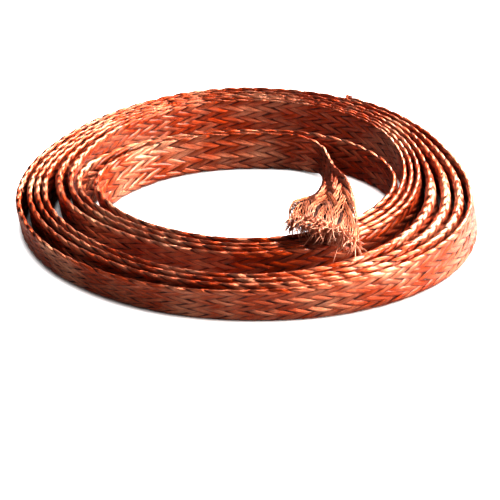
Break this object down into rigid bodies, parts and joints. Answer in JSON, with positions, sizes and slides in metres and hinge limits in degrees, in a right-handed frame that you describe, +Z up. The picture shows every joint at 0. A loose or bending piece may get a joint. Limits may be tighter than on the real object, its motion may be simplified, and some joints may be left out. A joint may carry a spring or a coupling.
{
  "type": "flexible busbar braid",
  "caption": "Flat bare copper braid strap wound in a loose flat coil on its edge, with a flared, frayed inner end that folds over the front turns.",
  "frame": {"origin": "middle of the footprint, on the plane that the coil stands on", "axes": "+Z up along the coil's axis, +Y away from the side that the loose end lies over, +X to the right"},
  "size_m": [0.152, 0.1532, 0.0202],
  "materials": {
    "bare_copper": "bright drawn copper wire, woven, with a light brown tarnish"
  },
  "bodies": {
    "root": {"copper_braid": "bare_copper"}
  },
  "joints": []
}
